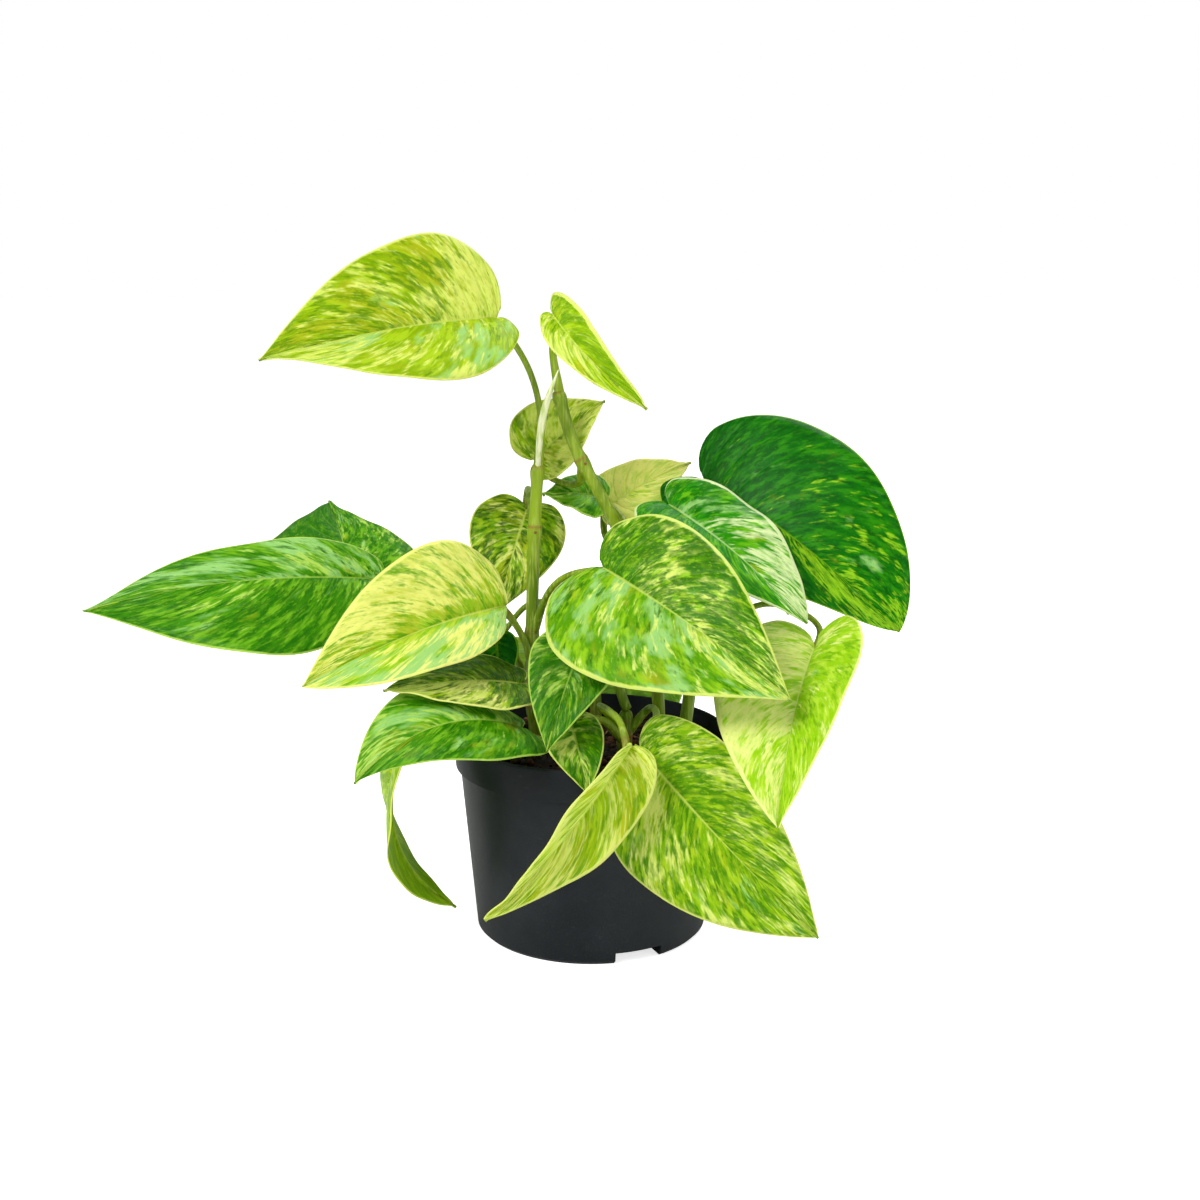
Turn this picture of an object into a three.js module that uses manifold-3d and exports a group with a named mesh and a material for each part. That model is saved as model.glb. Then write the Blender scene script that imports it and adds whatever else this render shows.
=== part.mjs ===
import * as THREE from 'three';
import { mergeVertices } from 'three/addons/utils/BufferGeometryUtils.js';
import Module from 'manifold-3d';

const wasm = await Module();
wasm.setup();

// Millimetres and degrees. +Z is up, the pot stands on Z = 0 around the Z axis, and -Y is the front.
const pot = {
  rimRadius: 60, bandFootRadius: 59, neckRadius: 57, baseRadius: 50.5, baseChamfer: 1.5,
  height: 88, bandHeight: 15, wall: 1.3, floor: 1.6, sides: 40,
};
const channel = {
  width: 21, height: 5, innerRadius: 31, azimuths: [24, 144, 264], holeRadius: 2.8, holeCentres: [37, 45],
};
const soil = { depthBelowRim: 9, mound: 3.5, lump: 0.9, sides: 30, rings: 6 };
const clearance = 0.3;
const blade = {
  thickness: 0.8, rows: 8, columns: 3, lobe: 0.14, sinus: 12, pointing: 1.15, edgeCurl: 12, wave: 0.012,
};
const vineSection = { radius: 3, sides: 8, step: 14, ringRadius: 3.7 };
const stalkSection = { radius: 1.5, sides: 5, step: 12 };
const shootSection = { radius: 1.5, sides: 6, step: 8 };

// A leaf: where its stalk leaves the vine (0 foot, 1 tip), the points the stalk passes, the blade's base and
// tip, the way its upper face looks, its half width over its length, the angle each half folds up, and how far
// the midrib bows towards the face (arch), over the length. Some leaves also twist along the midrib, have
// other lobes behind the base, slimmer shoulders near it or a more pointing tip. Where the two halves of a
// blade differ, the value is written [left, right].
const vines = [
  {
    name: 'vine_tall',
    path: [[-24, -10, 58], [-24, -10, 72], [-24, -10, 88], [-25, -11, 128], [-24, -9, 166], [-22, -6, 206]],
    leaves: [
      { name: 'leaf_crown_left', at: 0.97, via: [[-21, -1, 224], [-25, 0, 242], [-33, -4, 257]],
        base: [-38, -8, 266], tip: [-129, -45, 251], face: [0.1, -0.85, 0.5], width: [0.33, 0.36],
        fold: 26, arch: 0.06, lobe: [0.1, 0.05], shoulder: [1.6, 1], color: '#96c31a' },
      { name: 'leaf_centre_front', at: 0.5, via: [[-17, -19, 154], [-7, -29, 163]], base: [5, -35, 167],
        tip: [77, -85, 125], face: [0.02, -0.88, 0.45], width: [0.34, 0.44], fold: 10, arch: 0.06,
        color: '#6fae1c' },
      { name: 'leaf_centre_behind', at: 0.8, via: [[-26, 8, 190], [-28, 25, 189]], base: [-28, 20, 182],
        tip: [-41, 4, 139], face: [0, -0.9, 0.3], width: [0.42, 0.46], fold: 5, arch: 0.06,
        color: '#8aa82a' },
      { name: 'leaf_centre_shaded', at: 0.3, via: [[-33, -8, 124]], base: [-40, -15, 133],
        tip: [-38, -18, 110], face: [0, -0.95, 0.3], width: 0.4, fold: 10, arch: 0.06, color: '#17500e' },
      { name: 'leaf_mid_left', at: 0.36, via: [[-28, -17, 132]], base: [-35, -18, 147],
        tip: [-114, -62, 124], face: [0.1, -0.72, 0.7], width: [0.29, 0.35], fold: 32, arch: 0.08,
        twist: -12, lobe: [-0.06, 0.04], pointing: [0.7, 1.15], color: '#d8dc6e' },
      { name: 'leaf_rim_left', at: 0.28, via: [[-17, -24, 98], [-20, -42, 96]], base: [-28, -50, 104],
        tip: [-92, -78, 89], face: [0, -0.35, 0.94], width: [0.3, 0.36], fold: 0, arch: 0.2, twist: -32,
        lobe: [0.16, 0.1], pointing: [1.3, 0.7], color: '#4a9a12' },
      { name: 'leaf_rim_mottled', at: 0.4, via: [[-17, -22, 111], [-20, -33, 115]], base: [-29, -38, 119],
        tip: [-82, -62, 122], face: [0, -0.4, 0.92], width: 0.34, fold: 5, arch: 0.05, color: '#9a9c48' },
    ],
  },
  {
    name: 'vine_leaning',
    path: [[30, 2, 58], [30, 2, 72], [30, 2, 88], [27, 1, 125], [19, 0, 158], [10, 0, 180], [-7, 0, 213],
      [-14, 1, 236]],
    leaves: [
      { name: 'leaf_crown_right', at: 0.98, via: [[-16, 2, 254]], base: [-16, 4, 267],
        tip: [23, -25, 230], face: [-0.5, -0.8, 0.1], width: [0.25, 0.145], fold: 30, arch: 0.1,
        lobe: 0.08, color: '#a4cc1e' },
      { name: 'leaf_crown_small', at: 0.82, via: [[-6, 12, 194], [-18, 20, 196]], base: [-24, 16, 204],
        tip: [6, 20, 229], face: [-0.5, -0.8, 0.3], width: [0.52, 0.46], fold: 22, arch: 0.05,
        color: '#5f9c12' },
      { name: 'leaf_between_vines', at: 0.62, via: [[14, 12, 178]], base: [6, 18, 187],
        tip: [-21, 17, 189], face: [0, -0.6, 0.8], width: 0.5, fold: 10, arch: 0.08, color: '#3f8f12' },
      { name: 'leaf_pale_behind', at: 0.55, via: [[14, 14, 162], [6, 27, 170]], base: [6, 30, 181],
        tip: [45, 52, 198], face: [0, -0.7, 0.7], width: 0.32, fold: 12, arch: 0.05, color: '#b9c95a' },
    ],
  },
  {
    name: 'vine_right',
    path: [[40, -14, 58], [40, -14, 72], [40, -14, 88], [43, -14, 120], [41, -12, 148], [37, -8, 170]],
    leaves: [
      { name: 'leaf_right_inner', at: 0.9, via: [[40, 3, 180]], base: [33, -4, 188], tip: [89, -34, 143],
        face: [0.2, -0.7, 0.7], width: [0.3, 0.33], fold: 15, arch: 0.06, pointing: [0.6, 1.15],
        color: '#6aa62c' },
      { name: 'leaf_right_drooping', at: 0.55,
        via: [[56, -6, 136], [74, -9, 146], [90, -14, 143], [96, -20, 138]], base: [93, -30, 133],
        tip: [71, -101, 79], face: [-0.45, -0.65, 0.6], width: [0.33, 0.39], fold: 30, arch: 0.06,
        pointing: [0.7, 0.9], color: '#a9cf4a' },
    ],
  },
  {
    name: 'vine_front',
    path: [[14, -30, 58], [14, -30, 72], [14, -30, 88], [15, -31, 106]],
    leaves: [
      { name: 'leaf_front_right', at: 0.75, via: [[24, -34, 107], [27, -48, 108], [24, -57, 104]],
        base: [20, -62, 98], tip: [90, -86, 28], face: [-0.15, -0.97, 0.1], width: [0.29, 0.35], fold: 12,
        arch: 0.06, lobe: [0.1, 0], pointing: [0.9, 1], color: '#86b82c' },
      { name: 'leaf_front_low', at: 0.85, via: [[4, -42, 110], [8, -60, 113], [12, -74, 112]],
        base: [16, -80, 105], tip: [-40, -102, 42], face: [0.55, -0.8, -0.2], width: [0.22, 0.24],
        fold: 38, arch: 0.05, lobe: [0.06, 0], color: '#9cc838' },
      { name: 'leaf_centre_hanging', at: 1, via: [[8, -32, 124]], base: [-2, -40, 138],
        tip: [-17, -68, 99], face: [-0.2, -0.8, 0.5], width: 0.37, fold: 15, arch: 0.08,
        color: '#5fa41c' },
      { name: 'leaf_rim_front', at: 0.7, via: [[4, -40, 104]], base: [-8, -50, 106], tip: [-1, -67, 81],
        face: [0.1, -0.7, 0.7], width: [0.38, 0.42], fold: 8, arch: 0.08, color: '#9aa850' },
    ],
  },
  {
    name: 'vine_left',
    path: [[-40, -6, 58], [-40, -6, 72], [-40, -6, 88], [-44, -6, 112], [-50, -4, 134]],
    leaves: [
      { name: 'leaf_far_left', at: 0.98, via: [[-62, -2, 146], [-82, 0, 147]], base: [-90, -5, 156],
        tip: [-210, -25, 146], face: [0, -0.75, 0.66], width: [0.31, 0.15], fold: 10, arch: 0.09,
        lobe: [0.05, 0.05], shoulder: [1.4, 1], pointing: [0.9, 1], color: '#4f9a14' },
      { name: 'leaf_left_hanging', at: 0.65, via: [[-60, -14, 110], [-70, -26, 92]], base: [-82, -30, 84],
        tip: [-58, -26, 16], face: [-0.9, -0.3, 0.3], width: 0.3, fold: 10, arch: 0.18, twist: 40,
        color: '#3c8a12' },
      { name: 'leaf_left_behind', at: 0.85, via: [[-66, 14, 134], [-90, 18, 132], [-101, 16, 138]],
        base: [-102, 14, 148], tip: [-123, 74, 177], face: [0, -0.38, 0.92], width: [0.64, 0.43], fold: 6,
        arch: 0.02, lobe: 0.1, pointing: [1.1, 1.8], color: '#4f9c18' },
    ],
  },
  {
    name: 'vine_back',
    path: [[2, 34, 58], [2, 34, 72], [2, 34, 88], [0, 38, 118], [-8, 42, 146]],
    leaves: [
      { name: 'leaf_back_right', at: 0.9, via: [[20, 52, 158]],
        base: [40, 60, 165], tip: [95, 85, 120], face: [0.3, 0.6, 0.8], width: 0.36, fold: 12,
        arch: 0.08, color: '#7ab024' },
      { name: 'leaf_back_middle', at: 0.8, via: [[10, 54, 132]],
        base: [20, 62, 130], tip: [35, 108, 75], face: [0.1, 0.8, 0.6], width: 0.38, fold: 10,
        arch: 0.1, color: '#86b82c' },
      { name: 'leaf_back_left', at: 0.85, via: [[-28, 46, 134], [-46, 52, 115]], base: [-55, 56, 120],
        tip: [-110, 80, 98], face: [-0.1, 0.3, 0.95], width: 0.36, fold: 10, arch: 0.08,
        color: '#9cc02c' },
      { name: 'leaf_back_hanging', at: 0.6, via: [[-8, 54, 112]],
        base: [-20, 66, 110], tip: [-45, 106, 58], face: [-0.2, 0.8, 0.6], width: 0.38, fold: 8,
        arch: 0.1, color: '#6aa61c' },
      { name: 'leaf_back_low', at: 0.5, via: [[14, 50, 98], [16, 61, 94]], base: [17, 70, 94],
        tip: [21, 100, 38], face: [0, 0.9, 0.4], width: 0.42, fold: 8, arch: 0.1, color: '#4f9a14' },
      { name: 'leaf_right_dark', at: 0.9, via: [[24, 48, 160], [42, 46, 184]], base: [50, 36, 193],
        tip: [132, -6, 133], face: [0.15, -0.85, 0.5], width: [0.43, 0.3], fold: 20, arch: 0.08,
        pointing: [0.4, 0.9], color: '#1f7a12' },
    ],
  },
];

const shoot = { path: [[-22, -9, 206.6], [-19, -13, 228], [-13, -13, 245]], color: '#e9edbe' };

const radians = (degrees) => THREE.MathUtils.degToRad(degrees);
const point = (place) => new THREE.Vector3(...place);
const half = (value, side) => (Array.isArray(value) ? value[side > 0 ? 0 : 1] : value);

// --- joining and cutting ---

function mergedGeometry(geometry) {
  const bare = geometry.clone();
  bare.deleteAttribute('normal');
  bare.deleteAttribute('uv');
  const merged = mergeVertices(bare, 1e-4);
  const corners = merged.index.array;
  const kept = [];
  for (let i = 0; i < corners.length; i += 3) {
    const [a, b, c] = corners.slice(i, i + 3);
    if (a !== b && b !== c && c !== a) kept.push(a, b, c);
  }
  merged.setIndex(kept);
  return merged;
}

function solidFrom(geometry) {
  const merged = mergedGeometry(geometry);
  return new wasm.Manifold(new wasm.Mesh({
    numProp: 3,
    vertProperties: Float32Array.from(merged.attributes.position.array),
    triVerts: Uint32Array.from(merged.index.array),
  }));
}

function geometryFrom(solid) {
  const mesh = solid.getMesh();
  const geometry = new THREE.BufferGeometry();
  geometry.setAttribute('position', new THREE.BufferAttribute(mesh.vertProperties, 3));
  geometry.setIndex(new THREE.BufferAttribute(mesh.triVerts, 1));
  return geometry;
}

// --- basic shapes ---

// A profile of [radius, height] pairs turned about the Z axis.
function turned(profile, sides) {
  const outline = profile.map(([radius, height]) => new THREE.Vector2(radius, height));
  return new THREE.LatheGeometry(outline, sides).rotateX(Math.PI / 2);
}

function curveThrough(places) {
  return new THREE.CatmullRomCurve3(places.map(point), false, 'centripetal');
}

function tube(places, section) {
  const corners = [];
  for (let side = 0; side < section.sides; side++) {
    const angle = (side / section.sides) * 2 * Math.PI;
    corners.push(new THREE.Vector2(section.radius * Math.cos(angle), section.radius * Math.sin(angle)));
  }
  const path = curveThrough(places);
  const steps = Math.max(2, Math.ceil(path.getLength() / section.step));
  return new THREE.ExtrudeGeometry(new THREE.Shape(corners), { steps, extrudePath: path });
}

// A box along a radius of the pot, from one distance to another, standing on Z = bottom.
function radialBar(azimuth, from, to, width, bottom, top) {
  const bar = new THREE.BoxGeometry(width, to - from, top - bottom);
  bar.translate(0, -(from + to) / 2, (bottom + top) / 2);
  return bar.rotateZ(radians(azimuth));
}

// --- pot ---

function potOuterProfile() {
  const bandFoot = pot.height - pot.bandHeight;
  return [
    [0, 0], [pot.baseRadius - pot.baseChamfer, 0], [pot.baseRadius, pot.baseChamfer],
    [pot.neckRadius, bandFoot], [pot.bandFootRadius, bandFoot + 1],
    [pot.rimRadius, pot.height - 1.5], [pot.rimRadius - 0.4, pot.height - 0.4],
    [pot.rimRadius - pot.wall, pot.height], [0, pot.height],
  ];
}

function potInnerProfile(inset, top) {
  const { wall, floor } = pot;
  const neckInner = pot.neckRadius - wall - inset;
  const rimInner = pot.rimRadius - wall - 0.4 - inset;
  const share = (top - pot.floor) / (pot.height - pot.floor);
  const bandFoot = pot.height - pot.bandHeight;
  const profile = [
    [0, floor + inset], [pot.baseRadius - wall - 2.5 - inset, floor + inset],
    [pot.baseRadius - wall - inset, floor + inset + 2.5],
  ];
  if (share >= 1) {
    profile.push([neckInner, bandFoot], [neckInner + 1.6, bandFoot + 1], [rimInner, pot.height]);
    profile.push([rimInner, top], [0, top]);
  } else {
    profile.push([neckInner, bandFoot - 1]);
  }
  return profile;
}

function potShell() {
  const outer = solidFrom(turned(potOuterProfile(), pot.sides));
  const inner = solidFrom(turned(potInnerProfile(0, pot.height + 1), pot.sides));
  let shell = outer.subtract(inner);
  for (const azimuth of channel.azimuths) {
    const far = pot.rimRadius;
    const roof = channel.height + pot.floor;
    const broad = channel.width + 2 * pot.wall;
    const tray = radialBar(azimuth, channel.innerRadius - pot.wall, far, broad, 0, roof);
    shell = shell.add(solidFrom(tray).intersect(outer));
    const hollow = radialBar(azimuth, channel.innerRadius, far, channel.width, -1, channel.height);
    shell = shell.subtract(solidFrom(hollow));
    for (const distance of channel.holeCentres) {
      const hole = new THREE.CylinderGeometry(channel.holeRadius, channel.holeRadius, 2 * roof, 10);
      hole.rotateX(Math.PI / 2);
      hole.translate(0, -distance, roof);
      shell = shell.subtract(solidFrom(hole.rotateZ(radians(azimuth))));
    }
  }
  return shell;
}

// --- soil ---

// Height of the soil's top at a place, with a low mound and fixed lumps.
function soilTop(x, y) {
  const reach = Math.hypot(x, y) / pot.neckRadius;
  const lumps = Math.sin(x * 0.31 + 1.3) * Math.cos(y * 0.27) + 0.6 * Math.sin(x * 0.62 - y * 0.55);
  return pot.height - soil.depthBelowRim + soil.mound * (1 - reach * reach) + soil.lump * lumps;
}

function soilBody() {
  const bandFoot = pot.height - pot.bandHeight;
  const profile = potInnerProfile(clearance, bandFoot);
  const edge = profile[profile.length - 1][0];
  for (let ring = 0; ring <= soil.rings; ring++) {
    profile.push([edge * (1 - ring / soil.rings), pot.height]);
  }
  const body = turned(profile, soil.sides);
  const places = body.attributes.position;
  for (let i = 0; i < places.count; i++) {
    if (places.getZ(i) > pot.height - 1) places.setZ(i, soilTop(places.getX(i), places.getY(i)));
  }
  let solid = solidFrom(body);
  for (const azimuth of channel.azimuths) {
    const broad = channel.width + 2 * (pot.wall + clearance);
    const roof = channel.height + pot.floor + clearance;
    const from = channel.innerRadius - pot.wall - clearance;
    solid = solid.subtract(solidFrom(radialBar(azimuth, from, pot.rimRadius, broad, 0, roof)));
  }
  for (const { path } of vines) {
    const [x, y, foot] = path[0];
    const bore = vineSection.radius + 2 * clearance;
    const depth = pot.height - foot;
    const hole = new THREE.CylinderGeometry(bore, bore, depth, 10);
    hole.rotateX(Math.PI / 2);
    hole.translate(x, y, foot - clearance + depth / 2);
    solid = solid.subtract(solidFrom(hole));
  }
  return solid;
}

// --- leaves ---

// Axes of a blade at its base: along the midrib, to the left of it and out of its upper face.
function bladeAxes(leaf) {
  const along = point(leaf.tip).sub(point(leaf.base));
  const length = along.length();
  along.normalize();
  const face = point(leaf.face);
  face.addScaledVector(along, -face.dot(along)).normalize();
  const left = new THREE.Vector3().crossVectors(face, along);
  return { along, left, face, length };
}

// A point of the blade: reach along the midrib and distance out from it, in blade lengths, left positive.
function bladePoint(leaf, axes, reach, out) {
  const bow = axes.face.clone().multiplyScalar(2 * leaf.arch * axes.length);
  const place = point(leaf.base)
    .addScaledVector(axes.along, reach * axes.length)
    .addScaledVector(bow, 2 * reach * (1 - reach));
  const heading = axes.along.clone().multiplyScalar(axes.length).addScaledVector(bow, 2 * (1 - 2 * reach));
  heading.normalize();
  const twist = radians((leaf.twist ?? 0) * reach);
  const up = axes.face.clone().applyAxisAngle(axes.along, twist);
  up.addScaledVector(heading, -up.dot(heading)).normalize();
  const left = new THREE.Vector3().crossVectors(up, heading);
  const share = Math.abs(out) / half(leaf.width, out);
  const rise = radians(leaf.fold - (blade.edgeCurl * share) / 2);
  const ripple = blade.wave * Math.sin(reach * 13 + Math.sign(out) * 1.2) * share * share;
  return place
    .addScaledVector(left, out * Math.cos(rise) * axes.length)
    .addScaledVector(up, (Math.abs(out) * Math.sin(rise) + ripple) * axes.length);
}

// The heart-shaped margin of one half: turn runs from the notch at the stalk (0) to the tip (1).
function marginPoint(leaf, turn, side) {
  const lobe = half(leaf.lobe ?? blade.lobe, side);
  const pointing = half(leaf.pointing ?? blade.pointing, side);
  const shoulder = half(leaf.shoulder ?? 1, side);
  const bulge = (angle) => Math.sin(angle) ** shoulder * Math.cos(angle / 2) ** pointing;
  const widest = bulge(2 * Math.acos(Math.sqrt((shoulder + pointing) / (2 * shoulder + pointing))));
  const angle = radians(blade.sinus + (180 - blade.sinus) * turn);
  const reach = ((1 + lobe) * (1 - Math.cos(angle))) / 2 - lobe;
  const out = (half(leaf.width, side) * bulge(angle)) / widest;
  return [reach, out * Math.sign(side)];
}

// A net of lines that leave the midrib as side veins do, moved onto the blade's surface.
function bladeSurface(leaf) {
  const axes = bladeAxes(leaf);
  const net = new THREE.PlaneGeometry(1, 1, 2 * blade.columns, blade.rows);
  const places = net.attributes.position;
  for (let i = 0; i < places.count; i++) {
    const turn = places.getY(i) + 0.5;
    const side = -2 * places.getX(i);
    const share = Math.abs(side);
    const foot = turn ** 1.5;
    const [reach, out] = marginPoint(leaf, turn, side);
    const place = bladePoint(leaf, axes, foot + (reach - foot) * share, out * share);
    places.setXYZ(i, place.x, place.y, place.z);
  }
  return mergedGeometry(net);
}

// Gives a surface an even thickness, with both faces split into triangles alike.
function thickened(surface, thickness) {
  surface.computeVertexNormals();
  const places = surface.attributes.position;
  const normals = surface.attributes.normal;
  const count = places.count;
  const vertices = [];
  for (const face of [0.5, -0.5]) {
    for (let i = 0; i < count; i++) {
      const place = new THREE.Vector3().fromBufferAttribute(places, i);
      const normal = new THREE.Vector3().fromBufferAttribute(normals, i);
      vertices.push(...place.addScaledVector(normal, face * thickness));
    }
  }
  const corners = surface.index.array;
  const edges = new Map();
  const faces = [];
  for (let i = 0; i < corners.length; i += 3) {
    const [a, b, c] = corners.slice(i, i + 3);
    faces.push(a, b, c, c + count, b + count, a + count);
    for (const [from, to] of [[a, b], [b, c], [c, a]]) edges.set(`${from} ${to}`, [from, to]);
  }
  for (const [from, to] of edges.values()) {
    if (edges.has(`${to} ${from}`)) continue;
    faces.push(to, from, from + count, to, from + count, to + count);
  }
  const shell = new THREE.BufferGeometry();
  shell.setAttribute('position', new THREE.Float32BufferAttribute(vertices, 3));
  shell.setIndex(faces);
  return shell;
}

function bladeSolid(leaf) {
  return thickened(bladeSurface(leaf), blade.thickness);
}

// --- vines and stalks ---

// The stalk ends just under the blade, at the base of its midrib.
function stalkPlaces(leaf, start) {
  const axes = bladeAxes(leaf);
  const seat = bladePoint(leaf, axes, 0.02, 0);
  const along = bladePoint(leaf, axes, 0.06, 0).sub(seat).normalize();
  const up = axes.face.clone().addScaledVector(along, -axes.face.dot(along)).normalize();
  const heading = seat.clone().sub(point(leaf.via[leaf.via.length - 1])).normalize();
  const slope = Math.sqrt(1 - heading.dot(up) ** 2);
  const drop = blade.thickness / 2 + clearance + stalkSection.radius * slope;
  seat.addScaledVector(up, -drop).addScaledVector(along, -0.3);
  return [start.toArray(), ...leaf.via, seat.toArray()];
}

function vineSolid(vine) {
  const curve = curveThrough(vine.path);
  let solid = solidFrom(tube(vine.path, vineSection));
  for (const leaf of vine.leaves) {
    const start = curve.getPointAt(leaf.at);
    solid = solid.add(solidFrom(tube(stalkPlaces(leaf, start), stalkSection)));
    const ring = new THREE.SphereGeometry(vineSection.ringRadius, 8, 5);
    ring.rotateX(Math.PI / 2);
    ring.translate(...start);
    solid = solid.add(solidFrom(ring));
  }
  return solid;
}

// --- assembly ---

const plant = new THREE.Group();

function place(name, geometry, color, roughness) {
  const material = new THREE.MeshStandardMaterial({ color, roughness, metalness: 0 });
  const mesh = new THREE.Mesh(geometry, material);
  mesh.name = name;
  plant.add(mesh);
}

place('pot', geometryFrom(potShell()), '#34373a', 0.6);
place('soil', geometryFrom(soilBody()), '#2a1d16', 0.95);
place('shoot', geometryFrom(solidFrom(tube(shoot.path, shootSection))), shoot.color, 0.5);
for (const vine of vines) {
  place(vine.name, geometryFrom(vineSolid(vine)), '#8fb02a', 0.5);
  for (const leaf of vine.leaves) {
    place(leaf.name, bladeSolid(leaf), leaf.color, 0.4);
  }
}

export default plant;
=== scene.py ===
import math
import random
import bmesh
import bpy
from mathutils import Matrix, Vector, noise


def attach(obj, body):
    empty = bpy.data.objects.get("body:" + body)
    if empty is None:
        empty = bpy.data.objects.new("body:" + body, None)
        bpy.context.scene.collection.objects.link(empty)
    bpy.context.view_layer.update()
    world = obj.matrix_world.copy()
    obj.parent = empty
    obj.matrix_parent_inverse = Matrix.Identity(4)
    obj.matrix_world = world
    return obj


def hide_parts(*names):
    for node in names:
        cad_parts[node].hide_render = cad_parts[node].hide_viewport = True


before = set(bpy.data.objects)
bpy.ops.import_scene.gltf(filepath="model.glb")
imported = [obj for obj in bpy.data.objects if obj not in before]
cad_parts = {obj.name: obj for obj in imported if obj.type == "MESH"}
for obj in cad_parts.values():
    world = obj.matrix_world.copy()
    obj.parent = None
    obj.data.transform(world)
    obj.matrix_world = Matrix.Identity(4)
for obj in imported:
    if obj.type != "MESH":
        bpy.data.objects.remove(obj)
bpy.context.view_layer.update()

scene = bpy.context.scene
mm = 0.001  # every shape below is modelled in millimetres and made metres in addPiece

# small helpers for material nodes


def colour(code):  # a hex code as the linear colour that a node takes
    parts = [int(code[i:i + 2], 16) / 255 for i in (1, 3, 5)]
    return tuple(p / 12.92 if p <= 0.04045 else ((p + 0.055) / 1.055) ** 2.4 for p in parts) + (1,)


def colours(codes):
    return [colour(code) for code in codes]


def feed(tree, socket, value):
    if isinstance(value, bpy.types.NodeSocket):
        tree.links.new(value, socket)
    elif value is not None:
        socket.default_value = value


def calc(tree, operation, *values):
    node = tree.nodes.new("ShaderNodeMath")
    node.operation = operation
    for socket, value in zip(node.inputs, values):
        feed(tree, socket, value)
    return node.outputs[0]


def blendColour(tree, factor, first, second):
    node = tree.nodes.new("ShaderNodeMix")
    node.data_type = "RGBA"
    feed(tree, node.inputs[0], factor)
    feed(tree, node.inputs[6], first)
    feed(tree, node.inputs[7], second)
    return node.outputs[2]


def fade(tree, value, start, finish, low=0, high=1):
    node = tree.nodes.new("ShaderNodeMapRange")
    node.interpolation_type = "SMOOTHSTEP"
    for socket, number in zip(node.inputs, (value, start, finish, low, high)):
        feed(tree, socket, number)
    return node.outputs[0]


def cloud(tree, place, scale, detail=2, roughness=0.5):
    node = tree.nodes.new("ShaderNodeTexNoise")
    feed(tree, node.inputs["Vector"], place)
    feed(tree, node.inputs["Scale"], scale)
    node.inputs["Detail"].default_value = detail
    node.inputs["Roughness"].default_value = roughness
    return node.outputs["Fac"]


def combine(tree, x, y, z):
    node = tree.nodes.new("ShaderNodeCombineXYZ")
    for socket, value in zip(node.inputs, (x, y, z)):
        feed(tree, socket, value)
    return node.outputs[0]


def stretched(tree, place, factors):
    node = tree.nodes.new("ShaderNodeMapping")
    feed(tree, node.inputs["Vector"], place)
    node.inputs["Scale"].default_value = factors
    return node.outputs[0]


def objectPlace(tree):
    return tree.nodes.new("ShaderNodeTexCoord").outputs["Object"]


def seenByCamera(tree, unseen, seen):  # how bright it looks, apart from the light it gives
    straight = tree.nodes.new("ShaderNodeLightPath").outputs["Is Camera Ray"]
    return calc(tree, "MULTIPLY_ADD", straight, seen - unseen, unseen)


def attribute(tree, name):
    node = tree.nodes.new("ShaderNodeAttribute")
    node.attribute_name = name
    return node.outputs["Fac"]


def newGroup(name, inputs, outputs):
    tree = bpy.data.node_groups.new(name, "ShaderNodeTree")
    for label, kind, value in inputs:
        socket = tree.interface.new_socket(label, in_out="INPUT", socket_type=kind)
        if value is not None:
            socket.default_value = value
    for label, kind in outputs:
        tree.interface.new_socket(label, in_out="OUTPUT", socket_type=kind)
    return tree, tree.nodes.new("NodeGroupInput").outputs, tree.nodes.new("NodeGroupOutput").inputs


def newMaterial(name, roughness=0.5, specular=0.5):
    material = bpy.data.materials.new(name)
    material.use_nodes = True
    tree = material.node_tree
    shader = tree.nodes["Principled BSDF"]
    shader.inputs["Roughness"].default_value = roughness
    shader.inputs["Specular IOR Level"].default_value = specular
    return material, tree, shader.inputs


def addBump(tree, sockets, height, distance):
    node = tree.nodes.new("ShaderNodeBump")
    node.inputs["Distance"].default_value = distance
    feed(tree, node.inputs["Height"], height)
    feed(tree, sockets["Normal"], node.outputs[0])


def placeGroup(tree, group, values):
    node = tree.nodes.new("ShaderNodeGroup")
    node.node_tree = group
    for label, value in values.items():
        feed(tree, node.inputs[label], value)
    return node.outputs


# camera and studio

view = {"place": (0.004, -0.7, 0.297), "down": 12.2, "lens": 50, "sensor": 36}

cameraData = bpy.data.cameras.new("photoCamera")
cameraData.lens = view["lens"]
cameraData.sensor_width = view["sensor"]
cameraObject = bpy.data.objects.new("photoCamera", cameraData)
cameraObject.location = view["place"]
cameraObject.rotation_euler = (math.radians(90 - view["down"]), 0, 0)
scene.collection.objects.link(cameraObject)
scene.camera = cameraObject

studio = {
    "lights": {  # place, size and watts of each soft light, all aimed at the middle of the plant
        "keyBox": ((-0.9, -1.1, 1.3), 0.8, 23),
        "fillBox": ((1.3, -0.9, 0.7), 1.2, 7),
        "backBox": ((0.5, 0.9, 1.4), 0.9, 11),
    },
    "aim": (0, 0, 0.15),
    "sky": 0.4, "backdrop": 1,  # light that the sky gives, and how bright it looks behind the plant
    "floorSize": 16, "floorGlow": 0.72, "paper": (0.94, 0.96),
}

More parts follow.
